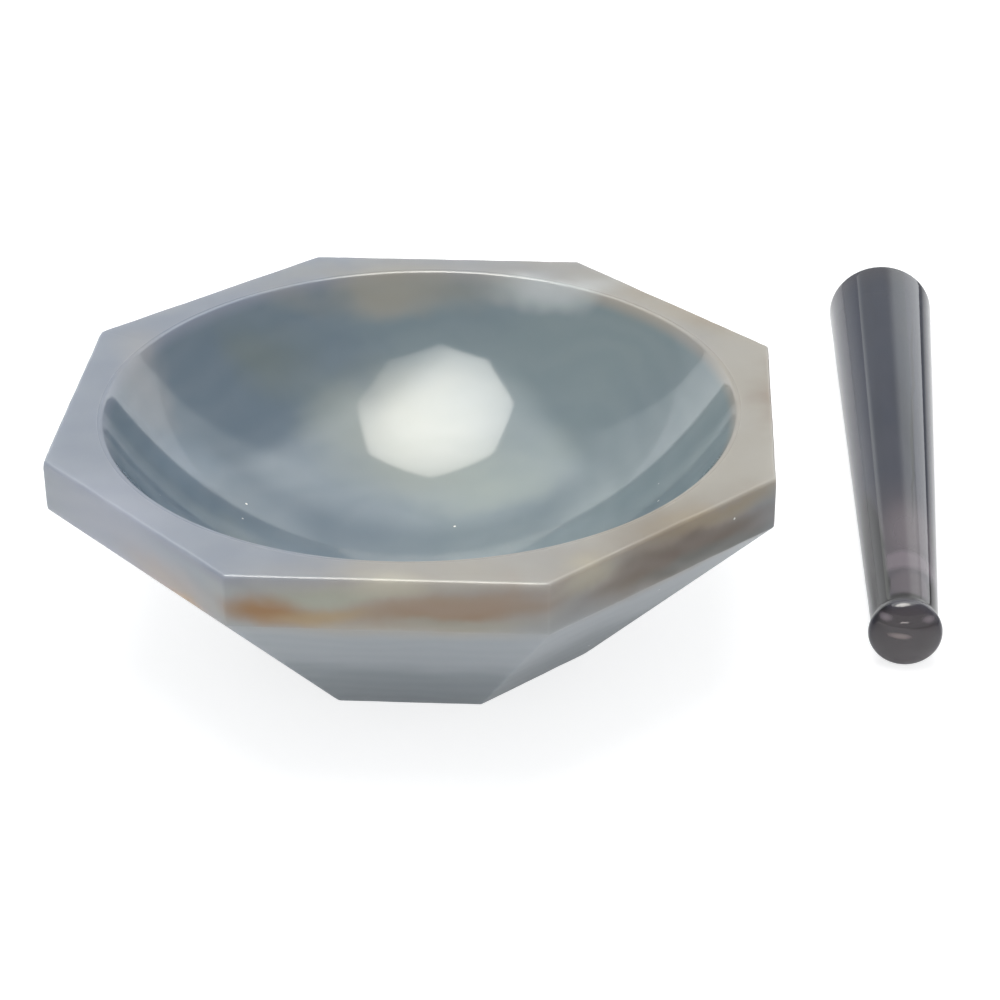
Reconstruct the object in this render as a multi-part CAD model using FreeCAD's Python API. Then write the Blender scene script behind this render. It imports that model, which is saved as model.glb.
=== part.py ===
"""Agate mortar and pestle: an eight-sided stone mortar with a polished round bowl, and the loose stone
pestle that grinds in it, laid down beside it.

Each of the two is ground from one solid piece of agate, so each is one solid in a node of its own.

Frame, in millimetres: the origin is the centre of the mortar's base, on the surface that it stands on.
+Z is up, +X runs from the mortar towards the pestle, and the two lie along +Y.
"""

import FreeCAD, Part
import math
import os

# The mortar, from which the pestle's place is also reckoned.
ACROSS_FLATS = 100.0
HEIGHT = 35.4
BAND_HEIGHT = 7.4
BASE_ACROSS_FLATS = 48.4
BOWL_RIM_DIAMETER = 90.0
BOWL_DEPTH = 25.0
EDGE_BEVEL = 0.5
RIM_ROUNDING = 0.6
SIDES = 8

# The pestle, along its own axis from the knob's tip to the grinding end's tip.
PESTLE_LENGTH = 105.9
GRINDING_RADIUS = 8.75
GRINDING_DOME_HEIGHT = 2.4
GRINDING_EDGE_ROUNDING = 1.0
NECK_RADIUS = 4.8
KNOB_RADIUS = 5.3
KNOB_DOME_HEIGHT = 2.9
KNOB_SHOULDER_ROUNDING = 1.6
NECK_HOLLOW_RADIUS = 2.8

# Where the pestle lies: its knob's tip, and the heading of its axis, turned from +X towards +Y.
KNOB_TIP_X = 69.9
KNOB_TIP_Y = -13.0
PESTLE_HEADING_DEG = 88.6


def octagon(across_flats, z):
    """The outline of a regular octagon with a flat side towards each axis."""
    corner_radius = across_flats / 2 / math.cos(math.pi / SIDES)
    corners = []
    for k in range(SIDES + 1):
        angle = (k + 0.5) * 2 * math.pi / SIDES
        corners.append(
            FreeCAD.Vector(corner_radius * math.cos(angle), corner_radius * math.sin(angle), z)
        )
    return Part.makePolygon(corners)


def faceted_block():
    """The stone before it is hollowed: an upright band over eight facets that lean in to the base."""
    base = octagon(BASE_ACROSS_FLATS, 0)
    waist = octagon(ACROSS_FLATS, HEIGHT - BAND_HEIGHT)
    brim = octagon(ACROSS_FLATS, HEIGHT)
    facets = Part.makeLoft([base, waist], True, True)
    band = Part.makeLoft([waist, brim], True, True)
    block = facets.fuse(band)
    return block.makeChamfer(EDGE_BEVEL, block.Edges)


def bowl_ball():
    """The ball whose lower part is the bowl."""
    rim_radius = BOWL_RIM_DIAMETER / 2
    ball_radius = (rim_radius**2 + BOWL_DEPTH**2) / (2 * BOWL_DEPTH)
    centre = FreeCAD.Vector(0, 0, HEIGHT - BOWL_DEPTH + ball_radius)
    return Part.makeSphere(ball_radius, centre)


def is_bowl_rim(edge):
    """Whether an edge is the level circle where the bowl meets the brim."""
    box = edge.BoundBox
    return box.ZLength < 0.01 and abs(box.XLength - BOWL_RIM_DIAMETER) < 0.01


def mortar():
    hollowed = faceted_block().cut(bowl_ball()).Solids[0]
    rim = [edge for edge in hollowed.Edges if is_bowl_rim(edge)]
    return hollowed.makeFillet(RIM_ROUNDING, rim).Solids[0]


def dome_radius(side_radius, dome_height, rounding):
    """The radius of a cap on the axis that is tangent to the rounding at its rim and dome_height tall."""
    inset = side_radius - rounding
    return (dome_height**2 + inset**2 - rounding**2) / (2 * (dome_height - rounding))


def tangent_point(cap_centre, rounding_centre, rounding):
    """Where a cap on the axis runs into the rounding at its rim."""
    outward = (rounding_centre - cap_centre).normalize()
    return rounding_centre + outward * rounding


def arc(start, middle, end):
    return Part.Arc(start, middle, end).toShape()


def line(start, end):
    return Part.LineSegment(start, end).toShape()


def arc_between(centre, radius, start, end):
    """The short arc of a circle from one of its points to another."""
    halfway = ((start - centre) + (end - centre)).normalize() * radius
    return arc(start, centre + halfway, end)


# The centres of the two roundings that the pestle's outline is drawn round, which it also lies on.
SHOULDER_CENTRE = FreeCAD.Vector(KNOB_DOME_HEIGHT, KNOB_RADIUS - KNOB_SHOULDER_ROUNDING, 0)
EDGE_CENTRE = FreeCAD.Vector(
    PESTLE_LENGTH - GRINDING_DOME_HEIGHT, GRINDING_RADIUS - GRINDING_EDGE_ROUNDING, 0
)


def knob_edges(neck):
    """The outline from the knob's tip over its shoulder and down into the hollow at the neck."""
    cap_radius = dome_radius(KNOB_RADIUS, KNOB_DOME_HEIGHT, KNOB_SHOULDER_ROUNDING)
    cap_centre = FreeCAD.Vector(cap_radius, 0, 0)
    tip = FreeCAD.Vector(0, 0, 0)
    cap_end = tangent_point(cap_centre, SHOULDER_CENTRE, KNOB_SHOULDER_ROUNDING)
    hollow_centre = neck + FreeCAD.Vector(0, NECK_HOLLOW_RADIUS, 0)
    towards_hollow = (hollow_centre - SHOULDER_CENTRE).normalize()
    shoulder_end = SHOULDER_CENTRE + towards_hollow * KNOB_SHOULDER_ROUNDING
    return [
        arc_between(cap_centre, cap_radius, tip, cap_end),
        arc_between(SHOULDER_CENTRE, KNOB_SHOULDER_ROUNDING, cap_end, shoulder_end),
        arc_between(hollow_centre, NECK_HOLLOW_RADIUS, shoulder_end, neck),
    ]


def grinding_end_edges(grip_end):
    """The outline round the wide end's edge and over its dome to the tip."""
    cap_radius = dome_radius(GRINDING_RADIUS, GRINDING_DOME_HEIGHT, GRINDING_EDGE_ROUNDING)
    cap_centre = FreeCAD.Vector(PESTLE_LENGTH - cap_radius, 0, 0)
    cap_start = tangent_point(cap_centre, EDGE_CENTRE, GRINDING_EDGE_ROUNDING)
    tip = FreeCAD.Vector(PESTLE_LENGTH, 0, 0)
    return [
        arc_between(EDGE_CENTRE, GRINDING_EDGE_ROUNDING, grip_end, cap_start),
        arc_between(cap_centre, cap_radius, cap_start, tip),
    ]


def neck_point():
    """The bottom of the hollow behind the knob, where the grip starts."""
    rise = NECK_RADIUS + NECK_HOLLOW_RADIUS - SHOULDER_CENTRE.y
    reach = KNOB_SHOULDER_ROUNDING + NECK_HOLLOW_RADIUS
    return FreeCAD.Vector(SHOULDER_CENTRE.x + math.sqrt(reach**2 - rise**2), NECK_RADIUS, 0)


def grip_end_point(neck):
    """Where the straight grip meets the grinding end's edge, without a kink."""
    to_centre = EDGE_CENTRE - neck
    slope = math.atan2(to_centre.y, to_centre.x) + math.asin(
        GRINDING_EDGE_ROUNDING / to_centre.Length
    )
    square_to_grip = FreeCAD.Vector(-math.sin(slope), math.cos(slope), 0)
    return EDGE_CENTRE + square_to_grip * GRINDING_EDGE_ROUNDING


def lying_tilt():
    """How far the axis rises, in degrees, when the knob and the wide end both rest on the table."""
    apart = EDGE_CENTRE - SHOULDER_CENTRE
    rounding_difference = GRINDING_EDGE_ROUNDING - KNOB_SHOULDER_ROUNDING
    tilt = math.atan2(apart.y, apart.x) + math.asin(rounding_difference / apart.Length)
    return math.degrees(tilt)


def pestle():
    neck = neck_point()
    grip_end = grip_end_point(neck)
    tip = FreeCAD.Vector(0, 0, 0)
    far_tip = FreeCAD.Vector(PESTLE_LENGTH, 0, 0)
    outline = [
        *knob_edges(neck),
        line(neck, grip_end),
        *grinding_end_edges(grip_end),
        line(far_tip, tip),
    ]
    along = FreeCAD.Vector(1, 0, 0)
    stone = Part.Face(Part.Wire(outline)).revolve(tip, along, 360)
    tilt = lying_tilt()
    stone.rotate(tip, FreeCAD.Vector(0, -1, 0), tilt)
    stone.rotate(tip, FreeCAD.Vector(0, 0, 1), PESTLE_HEADING_DEG)
    axis_height = (
        KNOB_SHOULDER_ROUNDING
        + SHOULDER_CENTRE.y * math.cos(math.radians(tilt))
        - SHOULDER_CENTRE.x * math.sin(math.radians(tilt))
    )
    stone.translate(FreeCAD.Vector(KNOB_TIP_X, KNOB_TIP_Y, axis_height))
    return stone


def main():
    os.makedirs("parts", exist_ok=True)
    for name, shape in (("mortar", mortar()), ("pestle", pestle())):
        print(name, "valid:", shape.isValid(), "volume:", round(shape.Volume), shape.optimalBoundingBox())
        shape.exportStep(f"parts/{name}.step")


main()
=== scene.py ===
"""The looks of an agate mortar and pestle: polished stone meshes with their procedural agate, a white
table, soft studio light and the camera.

The pieces, their stone and the camera's place are given in millimetres, and the stage in metres. What is
made from them is in metres.
"""

import math

import bmesh
import bpy
from mathutils import Matrix, Vector, noise

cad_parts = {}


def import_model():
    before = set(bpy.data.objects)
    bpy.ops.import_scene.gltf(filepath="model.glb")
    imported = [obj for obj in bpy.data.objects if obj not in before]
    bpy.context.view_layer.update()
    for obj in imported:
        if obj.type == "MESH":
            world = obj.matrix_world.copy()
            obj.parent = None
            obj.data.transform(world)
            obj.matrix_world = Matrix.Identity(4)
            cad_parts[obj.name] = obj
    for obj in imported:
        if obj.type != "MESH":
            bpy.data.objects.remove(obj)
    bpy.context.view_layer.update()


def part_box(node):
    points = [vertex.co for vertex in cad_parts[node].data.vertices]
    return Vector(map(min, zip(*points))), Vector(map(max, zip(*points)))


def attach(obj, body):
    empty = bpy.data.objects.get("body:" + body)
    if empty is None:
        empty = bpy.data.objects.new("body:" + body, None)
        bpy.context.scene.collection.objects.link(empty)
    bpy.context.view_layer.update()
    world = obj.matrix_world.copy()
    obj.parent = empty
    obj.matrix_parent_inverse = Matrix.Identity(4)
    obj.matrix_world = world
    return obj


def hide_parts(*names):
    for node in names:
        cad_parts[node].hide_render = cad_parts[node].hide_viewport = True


MM = 0.001
SIDES = 8
HALF_SIDE_ANGLE = math.pi / SIDES

# The mortar. Its mesh takes its height and its width from the frame. The height and half the width here place
# the stone's colours.
MORTAR_HEIGHT = 35.4
MORTAR_HALF_WIDTH = 50.0
BAND_HEIGHT = 7.4
BASE_ACROSS_FLATS = 48.4
BOWL_RIM_DIAMETER = 90.0
BOWL_DEPTH = 25.0
LIP_ROUNDING = 0.6
EDGE_ROUNDING = 0.5
CORNER_ROUNDING = 0.7
EDGE_WEAR = 0.16
FLAT_STEPS = 40
CORNER_STEPS = 6
BOWL_STEPS = 72
LIP_STEPS = 7
BRIM_STEPS = 7

# The ball whose lower part is the bowl.
BALL_RADIUS = ((BOWL_RIM_DIAMETER / 2) ** 2 + BOWL_DEPTH**2) / (2 * BOWL_DEPTH)
BALL_HEIGHT = MORTAR_HEIGHT - BOWL_DEPTH + BALL_RADIUS

# The pestle, along its own axis from the knob's tip, and how it lies.
PESTLE_LENGTH = 105.9
GRINDING_RADIUS = 8.75
GRINDING_DOME_HEIGHT = 2.4
GRINDING_EDGE_ROUNDING = 1.0
NECK_RADIUS = 4.8
KNOB_RADIUS = 5.3
KNOB_DOME_HEIGHT = 2.9
KNOB_SHOULDER_ROUNDING = 1.6
NECK_HOLLOW_RADIUS = 2.8
KNOB_TIP_X = 69.9
KNOB_TIP_Y = -13.0
PESTLE_HEADING_DEG = 88.6
PESTLE_COLUMNS = 128
GRIP_STEPS = 90

# The centres of the two roundings that the pestle's outline is drawn round, as (along, radius).
SHOULDER_CENTRE = Vector((KNOB_DOME_HEIGHT, KNOB_RADIUS - KNOB_SHOULDER_ROUNDING))
EDGE_CENTRE = Vector((PESTLE_LENGTH - GRINDING_DOME_HEIGHT, GRINDING_RADIUS - GRINDING_EDGE_ROUNDING))

# The camera looks down on the set from the front, a little from the right.
CAMERA_OFFSET = (33.1, -337.5, 172.2)
CAMERA_DOWN_DEG = 29.07
CAMERA_TURN_DEG = -3.69
CAMERA_ROLL_DEG = -0.36
CAMERA_LENS_MM = 96.06
CAMERA_SENSOR_MM = 36.0

# The stage, in metres: an octagonal softbox under a ceiling, in a round room with low walls.
SOFTBOX_X = -0.075
SOFTBOX_Y = -0.01
SOFTBOX_HEIGHT = 1.0
SOFTBOX_HALF_WIDTH = 0.37
SOFTBOX_HALF_LENGTH = 0.44
CEILING_HEIGHT = 1.01
ROOM_RADIUS = 3.0
WALL_HEIGHT = 1.5
WALL_SIDES = 16
TABLE_HALF_WIDTH = 9.0
CARD_DEPTH = 0.0002

AGATE_IOR = 1.54
BLACK = (0, 0, 0, 1)
WHITE = (1, 1, 1, 1)


def srgb(red, green, blue):
    """A colour given as it looks on a screen, from 0 to 255, as the linear colour that shaders take."""
    channels = []
    for value in (red, green, blue):
        v = value / 255
        channels.append(v / 12.92 if v <= 0.04045 else ((v + 0.055) / 1.055) ** 2.4)
    return (*channels, 1.0)


# ---------------------------------------------------------------------------------------------- meshes


def arc_points(centre, radius, start_deg, end_deg, steps):
    """Points on a circle in the plane of an outline, both ends included."""
    points = []
    for i in range(steps + 1):
        angle = math.radians(start_deg + (end_deg - start_deg) * i / steps)
        points.append(Vector((centre[0] + radius * math.cos(angle), centre[1] + radius * math.sin(angle))))
    return points


def line_points(start, end, steps):
    """Points on a straight line, without its two ends."""
    return [Vector(start).lerp(Vector(end), i / steps) for i in range(1, steps)]


def octagon_ring(half_width, z, corner_radius):
    """Points round a level octagon with rounded corners, the same number whatever its size."""
    ring = []
    half_flat = (half_width - corner_radius) * math.tan(HALF_SIDE_ANGLE)
    corner_distance = (half_width - corner_radius) / math.cos(HALF_SIDE_ANGLE)
    for side in range(SIDES):
        facing = side * 2 * HALF_SIDE_ANGLE
        out = Vector((math.cos(facing), math.sin(facing), 0))
        along = Vector((-math.sin(facing), math.cos(facing), 0))
        for i in range(FLAT_STEPS):
            aside = half_flat * (2 * i / FLAT_STEPS - 1)
            ring.append(out * half_width + along * aside + Vector((0, 0, z)))
        middle = facing + HALF_SIDE_ANGLE
        centre = Vector((math.cos(middle), math.sin(middle), 0)) * corner_distance
        for i in range(CORNER_STEPS):
            angle = facing + 2 * HALF_SIDE_ANGLE * i / CORNER_STEPS
            outward = Vector((math.cos(angle), math.sin(angle), 0))
            ring.append(centre + outward * corner_radius + Vector((0, 0, z)))
    return ring


def circle_ring(radius, z, like):
    """Points on a level circle, each in the direction of the same point of another ring."""
    ring = []
    for point in like:
        flat = Vector((point.x, point.y, 0)).normalized() * radius
        ring.append(flat + Vector((0, 0, z)))
    return ring


def closed_mesh(name, rings, first_tip, last_tip):
    """A closed mesh in metres through rings of equally many points, with a point at either end."""
    count = len(rings[0])
    points = [first_tip, *[point for ring in rings for point in ring], last_tip]
    faces = []
    last = len(points) - 1
    for i in range(count):
        after = (i + 1) % count
        faces.append((0, 1 + after, 1 + i))
        base = 1 + (len(rings) - 1) * count
        faces.append((last, base + i, base + after))
        for k in range(len(rings) - 1):
            low = 1 + k * count
            high = low + count
            faces.append((low + i, low + after, high + after, high + i))
    shape = bmesh.new()
    corners = [shape.verts.new(point * MM) for point in points]
    for face in faces:
        shape.faces.new([corners[i] for i in face])
    bmesh.ops.recalc_face_normals(shape, faces=shape.faces)
    mesh = bpy.data.meshes.new(name)
    shape.to_mesh(mesh)
    shape.free()
    mesh.shade_smooth()
    piece = bpy.data.objects.new(name, mesh)
    bpy.context.scene.collection.objects.link(piece)
    return piece


def worn(point, wear):
    """A point on the mortar, set back where handling and grinding have worn an edge."""
    if not wear:
        return point
    waviness = (0.5 + 0.5 * noise.noise(point * 0.22)) ** 2
    nick = max(0.0, noise.noise(point * 0.9) - 0.35) * 1.5
    middle = Vector((0, 0, 20))
    inward = (middle - point).normalized()
    return point + inward * EDGE_WEAR * wear * (waviness + nick)


def outer_profile(half_width, height):
    """The mortar's outside at the middle of a flat, from the brim down to the base.

    Each entry is (half width, height, radius of the rounded corners, how much it wears)."""
    base_half = BASE_ACROSS_FLATS / 2
    waist = height - BAND_HEIGHT
    lean_deg = math.degrees(math.atan2(half_width - base_half, waist))
    waist_touch = EDGE_ROUNDING * math.tan(math.radians(lean_deg) / 2)
    base_touch = EDGE_ROUNDING * math.tan(math.radians(90 - lean_deg) / 2)
    inner = half_width - EDGE_ROUNDING
    top_edge = arc_points((inner, height - EDGE_ROUNDING), EDGE_ROUNDING, 90, 0, 6)
    waist_edge = arc_points((inner, waist + waist_touch), EDGE_ROUNDING, 0, -lean_deg, 4)
    base_edge = arc_points((base_half - base_touch, EDGE_ROUNDING), EDGE_ROUNDING, -lean_deg, -90, 4)
    profile = []
    for point in top_edge:
        profile.append((point.x, point.y, CORNER_ROUNDING - (half_width - point.x), 1.0))
    for point in line_points(top_edge[-1], waist_edge[0], 10):
        profile.append((point.x, point.y, CORNER_ROUNDING, 0.0))
    for point in waist_edge:
        profile.append((point.x, point.y, CORNER_ROUNDING, 1.0))
    for point in line_points(waist_edge[-1], base_edge[0], 30):
        profile.append((point.x, point.y, CORNER_ROUNDING, 0.0))
    for point in base_edge:
        profile.append((point.x, point.y, CORNER_ROUNDING, 0.8))
    for point in line_points(base_edge[-1], (0, 0), 6):
        profile.append((point.x, point.y, min(CORNER_ROUNDING, point.x / 3), 0.0))
    return profile


def mortar_piece():
    low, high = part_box("mortar")
    half_width = high.x / MM
    height = high.z / MM
    outer = [
        [worn(point, wear) for point in octagon_ring(half, z, corner)]
        for half, z, corner, wear in outer_profile(half_width, height)
    ]
    ball_height = height - BOWL_DEPTH + BALL_RADIUS
    lip_height = height - LIP_ROUNDING
    lip_radius = math.sqrt((BALL_RADIUS + LIP_ROUNDING) ** 2 - (ball_height - lip_height) ** 2)
    touch_deg = math.degrees(math.atan2(lip_height - ball_height, lip_radius))
    bowl = arc_points((0, ball_height), BALL_RADIUS, -90, touch_deg, BOWL_STEPS)[1:]
    lip = arc_points((lip_radius, lip_height), LIP_ROUNDING, 180 + touch_deg, 90, LIP_STEPS)[1:]
    round_rings = [circle_ring(point.x, point.y, outer[0]) for point in [*bowl, *lip]]
    brim_rings = [
        [inner.lerp(edge, i / BRIM_STEPS) for inner, edge in zip(round_rings[-1], outer[0])]
        for i in range(1, BRIM_STEPS)
    ]
    bowl_bottom = Vector((0, 0, height - BOWL_DEPTH))
    return closed_mesh("mortar_stone", [*round_rings, *brim_rings, *outer], bowl_bottom, Vector())


def pestle_profile():
    """The pestle's outline, from the knob's tip to the grinding end's tip, as (along, radius)."""
    shoulder = SHOULDER_CENTRE
    edge = EDGE_CENTRE
    knob_cap = cap_radius(shoulder.y, KNOB_DOME_HEIGHT, KNOB_SHOULDER_ROUNDING)
    end_cap = cap_radius(edge.y, GRINDING_DOME_HEIGHT, GRINDING_EDGE_ROUNDING)
    knob_centre = Vector((knob_cap, 0))
    end_centre = Vector((PESTLE_LENGTH - end_cap, 0))
    rise = NECK_RADIUS + NECK_HOLLOW_RADIUS - shoulder.y
    reach = KNOB_SHOULDER_ROUNDING + NECK_HOLLOW_RADIUS
    neck = Vector((shoulder.x + math.sqrt(reach**2 - rise**2), NECK_RADIUS))
    hollow = neck + Vector((0, NECK_HOLLOW_RADIUS))
    slope_deg = direction_deg(edge - neck) + math.degrees(
        math.asin(GRINDING_EDGE_ROUNDING / (edge - neck).length)
    )
    cap_deg = direction_deg(shoulder - knob_centre)
    hollow_deg = direction_deg(hollow - shoulder)
    end_deg = direction_deg(edge - end_centre)
    grip_end = edge + Vector(
        (-math.sin(math.radians(slope_deg)), math.cos(math.radians(slope_deg)))
    ) * GRINDING_EDGE_ROUNDING
    return [
        *arc_points(knob_centre, knob_cap, 180, cap_deg, 14)[1:],
        *arc_points(shoulder, KNOB_SHOULDER_ROUNDING, cap_deg, hollow_deg, 14)[1:],
        *arc_points(hollow, NECK_HOLLOW_RADIUS, hollow_deg - 180, -90, 10)[1:],
        *line_points(neck, grip_end, GRIP_STEPS),
        *arc_points(edge, GRINDING_EDGE_ROUNDING, 90 + slope_deg, end_deg, 8),
        *arc_points(end_centre, end_cap, end_deg, 0, 14)[1:-1],
    ]


def direction_deg(vector):
    return math.degrees(math.atan2(vector.y, vector.x))


def cap_radius(inset, dome_height, rounding):
    """The radius of a cap on the axis that is tangent to the rounding at its rim and dome_height tall."""
    return (dome_height**2 + inset**2 - rounding**2) / (2 * (dome_height - rounding))


def pestle_place():
    """Where the pestle lies, with its knob's shoulder and its wide end's edge on the table.

    Its own axis is X, from the knob's tip."""
    shoulder = SHOULDER_CENTRE
    edge = EDGE_CENTRE
    apart = edge - shoulder
    rounding_difference = GRINDING_EDGE_ROUNDING - KNOB_SHOULDER_ROUNDING
    tilt = math.atan2(apart.y, apart.x) + math.asin(rounding_difference / apart.length)
    axis_height = KNOB_SHOULDER_ROUNDING + shoulder.y * math.cos(tilt) - shoulder.x * math.sin(tilt)
    knob_tip = Vector((KNOB_TIP_X, KNOB_TIP_Y, axis_height)) * MM
    heading = Matrix.Rotation(math.radians(PESTLE_HEADING_DEG), 4, "Z")
    return Matrix.Translation(knob_tip) @ heading @ Matrix.Rotation(-tilt, 4, "Y")


def pestle_piece():
    rings = []
    for point in pestle_profile():
        ring = []
        for i in range(PESTLE_COLUMNS):
            angle = 2 * math.pi * i / PESTLE_COLUMNS
            ring.append(Vector((point.x, point.y * math.cos(angle), point.y * math.sin(angle))))
        rings.append(ring)
    piece = closed_mesh("pestle_stone", rings, Vector(), Vector((PESTLE_LENGTH, 0, 0)))
    piece.data.transform(pestle_place())
    return piece


# ------------------------------------------------------------------------------------------- materials

# Soft clouds deep in the mortar's stone, and a pale halo partly of painted light round the softbox's
# reflection
# # in the bowl: centre, radii, colour and how strongly they show.
BROAD_CLOUDS_AND_HALO = [
    ((15, 42, 35), (13, 6, 6), srgb(186, 190, 190), 0.95),
    ((-10, 42, 34), (26, 8, 7), srgb(153, 149, 138), 0.85),
    ((-42, 12, 33), (6, 12, 8), srgb(146, 146, 148), 0.6),
    # The next three are partly painted light: the pale halo round the softbox's reflection on the bowl's far
    # wall.
    ((12, 18, 12), (16, 9, 8), srgb(148, 157, 149), 0.6),
    ((-4, 25, 17), (22, 19, 11), srgb(148, 151, 138), 0.6),
    ((-16, 25, 20), (9, 11, 8), srgb(148, 155, 150), 0.5),
    ((-36, 4, 24), (11, 12, 9), srgb(118, 134, 148), 0.6),
    ((-24, -8, 20), (9, 8, 9), srgb(116, 124, 122), 0.7),
    ((-26, 30, 26), (12, 10, 8), srgb(112, 122, 122), 0.8),
    ((32, -8, 22), (20, 10, 15), srgb(104, 118, 124), 0.8),
]

# Clouds of the mortar's band: which way their face faces, how far along it, height, radii (along, in, up),
# rise to the right in degrees, colour and how strongly they show.
BAND_CLOUDS = [
    (225, -4, 31, (26, 9, 10), 0, srgb(154, 158, 170), 0.85),
    (225, 9, 29, (15, 8, 5), 0, srgb(170, 158, 150), 0.8),
    (225, 12, 28.2, (6, 6, 1.8), 0, srgb(176, 146, 102), 0.6),
    (270, 0, 31, (32, 10, 8), 0, srgb(160, 152, 138), 0.95),
    (270, -8, 32.5, (12, 6, 2.6), 4, srgb(156, 160, 146), 0.7),
    (270, 9, 31.6, (23, 7, 3.8), 7, srgb(142, 118, 96), 0.9),
    (270, 9, 29.3, (12, 5, 1.5), 3, srgb(148, 146, 134), 0.7),
    (270, -15, 30.4, (8.5, 6, 3.4), -4, srgb(146, 110, 70), 1.0),
    (270, -9, 29.8, (9, 5, 1.9), 4, srgb(166, 144, 108), 0.7),
    (270, 0, 34.2, (7, 4, 2.4), 0, srgb(180, 176, 160), 0.6),
    (315, 0, 31.5, (28, 10, 8), 0, srgb(122, 110, 96), 0.95),
    (315, 5, 30.9, (25, 8, 3.2), -4, srgb(98, 82, 70), 0.85),
    (315, 8, 28.9, (20, 7, 2.0), -2, srgb(96, 98, 94), 0.8),
    (315, 10, 34.0, (18, 6, 2.2), -2, srgb(150, 136, 112), 0.7),
    (315, -14, 34.0, (8, 6, 3.0), 0, srgb(168, 160, 142), 0.8),
    (0, 0, 32.5, (26, 7, 4), 3, srgb(124, 104, 86), 0.85),
    (45, 0, 33, (26, 7, 4), -4, srgb(150, 136, 116), 0.8),
    (135, 0, 32, (26, 7, 5), 2, srgb(160, 158, 158), 0.7),
]

# Light and dark of the pestle's stone, with painted light and shade at its neck and knob, by its own axes:
# # centre, radii, turn about its upright axis in degrees, colour, how strongly they show and how much of them
# is solid colour.
PESTLE_CLOUDS_AND_PAINTED_LIGHT = [
    ((18, 0, 2), (26, 9, 9), 0, srgb(112, 103, 112), 0.95, 0.3),
    # The next three are painted light: the neck painted paler where light shows through the thin stone.
    ((22, -1.2, 4.6), (11, 5.5, 5), 0, srgb(140, 129, 137), 0.9, 0.2),
    ((14.2, 0, 4.2), (3.0, 9, 6), 0, srgb(160, 147, 157), 0.85, 0.4),
    ((8, -0.6, 4.6), (4.6, 4.2, 3), 0, srgb(132, 121, 129), 0.8, 0.5),
    ((17, 4.1, 3.2), (22, 2.1, 3.2), 2.5, srgb(24, 22, 30), 1.0, 0.65),
    ((9, 3.6, 3.2), (6, 1.8, 3.0), 0, srgb(20, 16, 20), 1.0, 0.7),
    ((7.5, -4.3, 2.8), (5, 1.7, 2.6), 0, srgb(30, 24, 28), 1.0, 0.6),
    ((24, -5.0, 2.4), (4, 1.2, 2.0), 0, srgb(50, 46, 50), 0.9, 0.4),
    # Painted shade in the hollow of the neck behind the knob.
    ((4.6, 0, 4.4), (1.7, 8, 6), 0, srgb(34, 30, 34), 0.9, 0.4),
    ((60, -3.2, 6), (42, 0.35, 2.0), -2.5, srgb(40, 42, 54), 0.8, 0.6),
    ((0, 0, 0), (4.6, 9, 9), 0, srgb(104, 97, 99), 0.9, 0.5),
    # Painted highlight on the knob's face, and painted reflections on its shoulder to either side.
    ((0.2, 1.0, 1.0), (2.0, 2.4, 0.6), 0, srgb(186, 170, 168), 0.8, 0.2),
    ((2.2, 2.9, 3.3), (1.6, 1.5, 0.8), 0, srgb(176, 164, 172), 0.9, 0.3),
    ((2.2, -2.7, 3.2), (1.6, 1.6, 0.8), 0, srgb(176, 164, 172), 0.9, 0.3),
    ((104, 0, 0), (9, 14, 14), 0, srgb(92, 86, 92), 0.7, 0.3),
]


class Nodes:
    """A material's nodes, added one at a time and joined as they are added."""

    def __init__(self, name):
        self.material = bpy.data.materials.new(name)
        self.material.use_nodes = True
        self.tree = self.material.node_tree
        self.shader = self.tree.nodes["Principled BSDF"]

    def set(self, socket, value):
        if isinstance(value, bpy.types.NodeSocket):
            self.tree.links.new(value, socket)
        else:
            socket.default_value = value

    def add(self, kind, inputs=(), **settings):
        node = self.tree.nodes.new("ShaderNode" + kind)
        for key, value in settings.items():
            setattr(node, key, value)
        for key, value in dict(inputs).items():
            self.set(node.inputs[key], value)
        return node

    def maths(self, operation, first, second=0.0, third=0.0):
        node = self.add("Math", {0: first, 1: second, 2: third}, operation=operation)
        return node.outputs[0]

    def split(self, vector):
        """The outputs X, Y and Z of a vector."""
        return self.add("SeparateXYZ", {0: vector}).outputs

    def map(self, factor, low, high, start=0.0, end=1.0):
        """low up to start, high from end on, and straight between them."""
        node = self.add(
            "MapRange",
            {"Value": factor, "From Min": start, "From Max": end, "To Min": low, "To Max": high},
        )
        return node.outputs[0]

    def move(self, operation, first, second):
        key = "Scale" if operation == "SCALE" else 1
        return self.add("VectorMath", {0: first, key: second}, operation=operation).outputs[0]

    def noise(self, place, size, detail=3.0):
        """Smooth noise whose features are about size millimetres across."""
        return self.add("TexNoise", {"Vector": place, "Scale": 1 / size, "Detail": detail})

    def ramp(self, factor, start, end):
        """0 up to start, 1 from end on, and smooth between them."""
        node = self.add(
            "MapRange",
            {"Value": factor, "From Min": start, "From Max": end},
            interpolation_type="SMOOTHSTEP",
        )
        return node.outputs[0]

    def fade(self, factor, start, end, amount):
        """amount up to start, 0 from end on, and smooth between them."""
        node = self.add(
            "MapRange",
            {"Value": factor, "From Min": start, "From Max": end, "To Min": amount, "To Max": 0.0},
            interpolation_type="SMOOTHSTEP",
        )
        return node.outputs[0]

    def blend(self, factor, below, above):
        """below where factor is 0 and above where it is 1."""
        node = self.add("Mix", {"Factor": factor, 6: below, 7: above}, data_type="RGBA")
        return node.outputs[2]


def millimetres(nodes):
    """The place of a point of the piece in the row's frame, in millimetres."""
    place = nodes.add("TexCoord").outputs["Object"]
    return nodes.move("SCALE", place, 1 / MM)


def warped(nodes, place, size, reach):
    """The place moved about by up to roughly reach millimetres, so that what is drawn there looks grown."""
    drift = nodes.move("SUBTRACT", nodes.noise(place, size, 3).outputs["Color"], (0.5, 0.5, 0.5))
    largest_drift = 0.25
    return nodes.move("ADD", place, nodes.move("SCALE", drift, reach / largest_drift))


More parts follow.
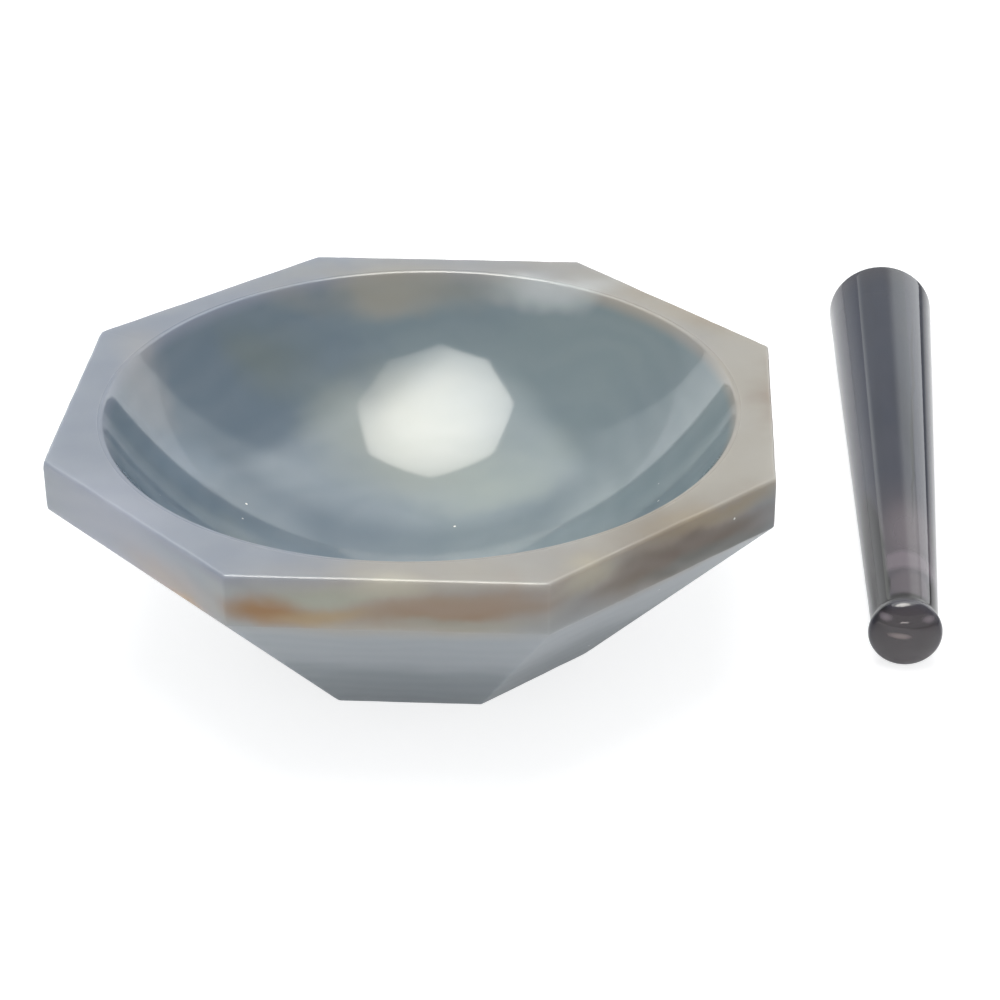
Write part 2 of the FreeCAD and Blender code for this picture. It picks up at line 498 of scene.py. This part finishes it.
def cloud(nodes, colour, place, centre, radii, tint, strength, heading_deg=0, rise_deg=0, core=0.15):
    """Tint an ellipsoid of the stone, fading out from its core to its surface."""
    local = nodes.add(
        "Mapping",
        {
            "Vector": place,
            "Location": centre,
            "Rotation": (0, -math.radians(rise_deg), math.radians(heading_deg)),
            "Scale": radii,
        },
        vector_type="TEXTURE",
    ).outputs[0]
    distance = nodes.add("VectorMath", {0: local}, operation="LENGTH").outputs["Value"]
    return nodes.blend(nodes.fade(distance, core, 1.0, strength), colour, tint)


def on_face(facing_deg, along, height):
    """A point of the mortar's band, by how far it is along its face to the right of the middle."""
    facing = math.radians(facing_deg)
    out = Vector((math.cos(facing), math.sin(facing), 0)) * MORTAR_HALF_WIDTH
    right = Vector((-math.sin(facing), math.cos(facing), 0)) * along
    return out + right + Vector((0, 0, height))


def mortar_colour(nodes, place, close, depth):
    """Blue-grey stone with clouds and a brown and cream band, an outside painted darker towards the base as
    shade, and a pale halo partly of painted light round the softbox's reflection in the bowl.

    Close is the place moved about a little, and depth is how far it is under the bowl's surface."""
    broad = warped(nodes, place, 24, 5)
    axes = nodes.split(broad)
    grain = nodes.noise(broad, 28, 4).outputs["Fac"]
    rightward = nodes.maths("ADD", axes["X"], nodes.maths("MULTIPLY", grain, 90.0))
    inner = nodes.blend(nodes.ramp(rightward, 5, 85), srgb(106, 120, 132), srgb(128, 141, 144))
    brim = nodes.blend(nodes.ramp(rightward, 20, 85), srgb(130, 137, 149), srgb(158, 153, 144))
    # Painted shade: the outside is coloured darker towards the base, standing in for the shade close to the
    # table.
    shade_darkened_outside = nodes.blend(nodes.ramp(axes["Z"], 9, 17), srgb(112, 122, 129), srgb(142, 149, 155))
    colour = nodes.blend(nodes.ramp(depth, 1.5, 4.0), inner, shade_darkened_outside)
    colour = nodes.blend(nodes.ramp(nodes.split(place)["Z"], 33.2, 35.2), colour, brim)
    for centre, radii, tint, strength in BROAD_CLOUDS_AND_HALO:
        colour = cloud(nodes, colour, broad, centre, radii, tint, strength)
    for facing, along, height, radii, rise, tint, strength in BAND_CLOUDS:
        centre = on_face(facing, along, height)
        colour = cloud(nodes, colour, close, centre, radii, tint, strength, facing + 90, rise)
    return colour


def with_layers_and_pits(nodes, place, colour, outside):
    """Add the stone's faint level layers, which show more outside the bowl, and a few tiny pale pits."""
    bands = nodes.add(
        "TexWave",
        {"Vector": warped(nodes, place, 30, 4), "Scale": 0.09, "Distortion": 3.0, "Detail": 3.0},
        bands_direction="Z",
    ).outputs["Fac"]
    show = nodes.map(outside, 0.03, 0.055)
    colour = nodes.blend(nodes.maths("MULTIPLY", bands, show), colour, srgb(196, 198, 196))
    pits = nodes.add("TexVoronoi", {"Vector": place, "Scale": 1 / 5}).outputs
    small = nodes.fade(pits["Distance"], 0.025, 0.05, 1.0)
    few = nodes.ramp(nodes.add("SeparateColor", {0: pits["Color"]}).outputs[0], 0.78, 0.8)
    return nodes.blend(nodes.maths("MULTIPLY", small, few), colour, srgb(236, 236, 230))


def mortar_agate():
    """Agate that is polished in the bowl and ground duller outside."""
    nodes = Nodes("polished_agate")
    place = millimetres(nodes)
    close = warped(nodes, place, 9, 1.0)
    from_ball = nodes.add("VectorMath", {0: place, 1: (0, 0, BALL_HEIGHT)}, operation="DISTANCE")
    depth = nodes.maths("SUBTRACT", from_ball.outputs["Value"], BALL_RADIUS)
    outside = nodes.ramp(depth, 0.1, 0.6)
    smears = nodes.noise(close, 16, 4).outputs["Fac"]
    polished = nodes.map(smears, 0.04, 0.09)
    ground = nodes.map(smears, 0.25, 0.34)
    roughness = nodes.add("Mix", {"Factor": outside, 2: polished, 3: ground}).outputs[0]
    plain = mortar_colour(nodes, place, close, depth)
    colour = with_layers_and_pits(nodes, place, plain, outside)
    shader = nodes.shader.inputs
    nodes.set(shader["Base Color"], colour)
    nodes.set(shader["Roughness"], roughness)
    nodes.set(shader["IOR"], AGATE_IOR)
    nodes.set(shader["Subsurface Weight"], 0.5)
    nodes.set(shader["Subsurface Radius"], (1.0, 0.95, 0.9))
    nodes.set(shader["Subsurface Scale"], 0.005)
    return nodes.material


def pestle_agate():
    """Dark smoky agate that lets some light through, with streaks along it, a neck painted pale as light
    showing through the thin stone, and painted shade and highlights at the knob.
    """
    nodes = Nodes("smoky_agate")
    place = millimetres(nodes)
    knob_tip = pestle_place().to_translation() / MM
    rotation = pestle_place().to_euler()
    along = nodes.add(
        "Mapping",
        {"Vector": place, "Location": knob_tip, "Rotation": rotation},
        vector_type="TEXTURE",
    ).outputs[0]
    stretched = nodes.move("MULTIPLY", along, (0.12, 1, 1))
    streaks = nodes.noise(stretched, 3.5, 3).outputs["Fac"]
    clouds = nodes.noise(along, 14, 3).outputs["Fac"]
    colour = nodes.blend(nodes.ramp(clouds, 0.35, 0.65), srgb(60, 67, 90), srgb(72, 75, 94))
    colour = nodes.blend(nodes.ramp(streaks, 0.35, 0.7), colour, srgb(52, 57, 79))
    grown = warped(nodes, along, 6, 0.25)
    for centre, radii, turn, tint, strength, core in PESTLE_CLOUDS_AND_PAINTED_LIGHT:
        colour = cloud(nodes, colour, grown, centre, radii, tint, strength, turn, 0, core)
    shader = nodes.shader.inputs
    nodes.set(shader["Base Color"], colour)
    nodes.set(shader["Roughness"], 0.05)
    nodes.set(shader["IOR"], AGATE_IOR)
    nodes.set(shader["Transmission Weight"], 0.5)
    absorption = nodes.add("VolumeAbsorption")
    nodes.set(absorption.inputs["Color"], (0.62, 0.62, 0.66, 1))
    nodes.set(absorption.inputs["Density"], 1000.0)
    output = nodes.tree.nodes["Material Output"]
    nodes.tree.links.new(absorption.outputs[0], output.inputs["Volume"])
    return nodes.material


# ----------------------------------------------------------------------------------------------- stage


def flat_mesh(name, corners):
    """A flat stage piece with those corners, in metres."""
    shape = bmesh.new()
    shape.faces.new([shape.verts.new(corner) for corner in corners])
    mesh = bpy.data.meshes.new(name)
    shape.to_mesh(mesh)
    shape.free()
    piece = bpy.data.objects.new(name, mesh)
    bpy.context.scene.collection.objects.link(piece)
    return piece


def matt(nodes, colour):
    """Make a surface matt and give it a colour, which may be a single grey."""
    nodes.set(nodes.shader.inputs["Base Color"], colour)
    nodes.set(nodes.shader.inputs["Roughness"], 1.0)
    nodes.set(nodes.shader.inputs["Specular IOR Level"], 0.0)


def glowing(nodes, colour, glow):
    nodes.set(nodes.shader.inputs["Emission Color"], colour)
    nodes.set(nodes.shader.inputs["Emission Strength"], glow)
    return nodes.material


def only_mirrored(piece):
    """Let a piece show in the polish but light nothing, so that what shows and what lights stay separate."""
    piece.visible_camera = False
    piece.visible_diffuse = False
    piece.visible_shadow = False


def mirrored_panel(name, corners, material):
    panel = flat_mesh(name, corners)
    panel.data.materials.append(material)
    only_mirrored(panel)


def round_light(name, place, size, radiance):
    """A round light over the pieces, facing down at them, which doesn't show in the polish."""
    data = bpy.data.lights.new(name, "AREA")
    data.shape = "DISK"
    data.size = size
    data.energy = radiance * math.pi * math.pi * size * size / 4
    lamp = bpy.data.objects.new(name, data)
    lamp.location = place
    lamp.rotation_euler = (-Vector(place)).to_track_quat("-Z", "Y").to_euler()
    lamp.visible_glossy = False
    lamp.visible_camera = False
    bpy.context.scene.collection.objects.link(lamp)


def softbox_corners():
    corners = []
    for k in range(SIDES):
        angle = 2 * k * HALF_SIDE_ANGLE
        x = SOFTBOX_X + SOFTBOX_HALF_WIDTH * math.cos(angle)
        y = SOFTBOX_Y + SOFTBOX_HALF_LENGTH * math.sin(angle)
        corners.append((x, y, SOFTBOX_HEIGHT))
    return corners


def softbox_material():
    """Warm white, brightest in the middle and dimmest towards the corner at the front right."""
    nodes = Nodes("softbox_light")
    place = nodes.add("TexCoord").outputs["Object"]
    middle = (SOFTBOX_X, 0, SOFTBOX_HEIGHT)
    middle_glow = 12.8
    loss = 38.0
    corner_share = 0.38
    from_middle = nodes.add("VectorMath", {0: place, 1: middle}, operation="DISTANCE").outputs["Value"]
    falloff = nodes.maths("MULTIPLY", nodes.maths("POWER", from_middle, 2.0), loss)
    towards_corner = nodes.add("VectorMath", {0: place, 1: (0.8, -0.6, 0)}, operation="DOT_PRODUCT")
    rest = nodes.fade(towards_corner.outputs["Value"], 0.05, 0.34, 1 - corner_share)
    shade = nodes.maths("ADD", rest, corner_share)
    glow = nodes.maths("MULTIPLY", nodes.maths("SUBTRACT", middle_glow, falloff), shade)
    nodes.set(nodes.shader.inputs["Base Color"], BLACK)
    return glowing(nodes, (1.0, 0.985, 0.93, 1), glow)


def lit_wedge(nodes):
    """How far a point of the room is to either side, and 1 inside the wedge ahead that is lit, 0 outside."""
    middle_x = -0.25
    widening = 1.55
    start = 0.15
    parts = nodes.split(nodes.add("TexCoord").outputs["Object"])
    across = nodes.maths("ABSOLUTE", nodes.maths("SUBTRACT", parts["X"], middle_x))
    edge = nodes.maths("SUBTRACT", nodes.maths("MULTIPLY", parts["Y"], widening), start)
    return across, nodes.ramp(nodes.maths("SUBTRACT", edge, across), -0.12, 0.12)


def ceiling_material():
    """Light spilling from the softbox over the ceiling, away from the camera and to either side."""
    nodes = Nodes("ceiling_spill")
    dimmest = 0.3
    sides_glow = 0.75
    parts = nodes.split(nodes.add("TexCoord").outputs["Object"])
    across = nodes.maths("ABSOLUTE", nodes.maths("SUBTRACT", parts["X"], SOFTBOX_X))
    edge = nodes.maths("MULTIPLY_ADD", parts["Y"], 0.45, 0.45)
    wedge = nodes.ramp(nodes.maths("SUBTRACT", edge, across), -0.12, 0.12)
    start = nodes.ramp(parts["Y"], -0.45, 0.0)
    near = nodes.fade(parts["Y"], 0.6, 1.3, 1.9)
    middle = nodes.maths("MULTIPLY", nodes.maths("ADD", near, 0.5), nodes.maths("MULTIPLY", wedge, start))
    aside, ahead = lit_wedge(nodes)
    sides = nodes.maths("MULTIPLY", nodes.ramp(aside, 0.5, 0.9), nodes.maths("MULTIPLY", ahead, sides_glow))
    glow = nodes.maths("ADD", nodes.maths("ADD", middle, sides), dimmest)
    nodes.set(nodes.shader.inputs["Base Color"], BLACK)
    return glowing(nodes, (0.97, 1, 0.97, 1), glow)


def wall_material():
    """Pale, and brighter to either side of what is straight ahead."""
    nodes = Nodes("pale_walls")
    across, ahead = lit_wedge(nodes)
    sides = nodes.maths("MULTIPLY", nodes.ramp(across, 0.9, 1.7), ahead)
    nodes.set(nodes.shader.inputs["Base Color"], BLACK)
    return glowing(nodes, (0.97, 0.99, 1, 1), nodes.map(sides, 0.65, 1.75))


def bounce_material():
    """White card under the pieces, and greyer to the right of the pestle."""
    nodes = Nodes("bounce_card")
    across = nodes.split(nodes.add("TexCoord").outputs["Object"])["X"]
    grey = nodes.map(across, 0.8, 0.2, 0.085, 0.16)
    matt(nodes, grey)
    return glowing(nodes, WHITE, nodes.maths("MULTIPLY", grey, 0.375))


def table_material():
    nodes = Nodes("white_table")
    matt(nodes, (0.45, 0.45, 0.45, 1.0))
    return glowing(nodes, WHITE, 0.78)


def window_material():
    nodes = Nodes("far_window")
    matt(nodes, BLACK)
    return glowing(nodes, (1.0, 0.93, 0.9, 1), 7.0)


def room_walls():
    """The pale walls all round, as high as they show in the polish."""
    shape = bmesh.new()
    rows = []
    for z in (0.0, WALL_HEIGHT):
        row = []
        for k in range(WALL_SIDES):
            angle = 2 * math.pi * k / WALL_SIDES
            row.append(shape.verts.new((ROOM_RADIUS * math.cos(angle), ROOM_RADIUS * math.sin(angle), z)))
        rows.append(row)
    for k in range(WALL_SIDES):
        after = (k + 1) % WALL_SIDES
        shape.faces.new((rows[0][k], rows[0][after], rows[1][after], rows[1][k]))
    mesh = bpy.data.meshes.new("walls")
    shape.to_mesh(mesh)
    shape.free()
    walls = bpy.data.objects.new("walls", mesh)
    bpy.context.scene.collection.objects.link(walls)
    walls.data.materials.append(wall_material())
    only_mirrored(walls)


def table_corners(z=0.0):
    half = TABLE_HALF_WIDTH
    return [(-half, -half, z), (half, -half, z), (half, half, z), (-half, half, z)]


def table():
    """The white table that the camera sees, and the card just under it that lights the pieces from below."""
    seen = flat_mesh("table", table_corners())
    seen.data.materials.append(table_material())
    seen.visible_diffuse = False
    seen.visible_glossy = False
    seen.visible_transmission = False
    bounce = flat_mesh("table_bounce", table_corners(-CARD_DEPTH))
    bounce.data.materials.append(bounce_material())
    bounce.visible_camera = False


def surroundings():
    """White to the camera, dim in the polish, and a soft fill for everything else."""
    world = bpy.data.worlds.new("studio")
    bpy.context.scene.world = world
    world.use_nodes = True
    tree = world.node_tree
    seen = tree.nodes.new("ShaderNodeBackground")
    seen.inputs["Color"].default_value = WHITE
    path = tree.nodes.new("ShaderNodeLightPath")
    fill = tree.nodes["Background"]
    fill.inputs["Color"].default_value = (0.96, 0.98, 1.0, 1)
    fill.inputs["Strength"].default_value = 0.65
    dim = tree.nodes.new("ShaderNodeBackground")
    dim.inputs["Color"].default_value = (0.3, 0.3, 0.32, 1)
    glossy = tree.nodes.new("ShaderNodeMixShader")
    mix = tree.nodes.new("ShaderNodeMixShader")
    tree.links.new(path.outputs["Is Glossy Ray"], glossy.inputs[0])
    tree.links.new(fill.outputs[0], glossy.inputs[1])
    tree.links.new(dim.outputs[0], glossy.inputs[2])
    tree.links.new(path.outputs["Is Camera Ray"], mix.inputs[0])
    tree.links.new(glossy.outputs[0], mix.inputs[1])
    tree.links.new(seen.outputs[0], mix.inputs[2])
    tree.links.new(mix.outputs[0], tree.nodes["World Output"].inputs[0])


def studio():
    table()
    mirrored_panel("softbox", softbox_corners(), softbox_material())
    height = CEILING_HEIGHT
    ceiling = [(-3, -0.6, height), (3, -0.6, height), (3, 2.6, height), (-3, 2.6, height)]
    mirrored_panel("ceiling", ceiling, ceiling_material())
    room_walls()
    window = [(-0.42, -2.4, 0.46), (0.3, -2.4, 0.5), (0.3, -2.4, 0.6), (-0.42, -2.4, 0.58)]
    mirrored_panel("far_window", window, window_material())
    round_light("key", (-0.05, 0.0, 1.0), 0.8, 4.0)
    surroundings()


def camera():
    low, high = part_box("mortar")
    brim_centre = Vector((0, 0, high.z))
    down = math.radians(CAMERA_DOWN_DEG)
    turn = math.radians(CAMERA_TURN_DEG)
    forward = Vector((math.sin(turn) * math.cos(down), math.cos(turn) * math.cos(down), -math.sin(down)))
    level = Matrix.Rotation(math.radians(CAMERA_ROLL_DEG), 4, -forward)
    rotation = level @ forward.to_track_quat("-Z", "Y").to_matrix().to_4x4()
    data = bpy.data.cameras.new("camera")
    data.lens = CAMERA_LENS_MM
    data.sensor_width = CAMERA_SENSOR_MM
    data.clip_start = 0.01
    item = bpy.data.objects.new("camera", data)
    item.matrix_world = Matrix.Translation(brim_centre + Vector(CAMERA_OFFSET) * MM) @ rotation
    bpy.context.scene.collection.objects.link(item)
    bpy.context.scene.camera = item


def main():
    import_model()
    mortar = mortar_piece()
    pestle = pestle_piece()
    for piece, body, agate in ((mortar, "mortar", mortar_agate()), (pestle, "pestle", pestle_agate())):
        piece.data.materials.append(agate)
        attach(piece, body)
        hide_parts(body)
    camera()
    studio()
    bpy.context.scene.view_settings.view_transform = "Standard"


main()
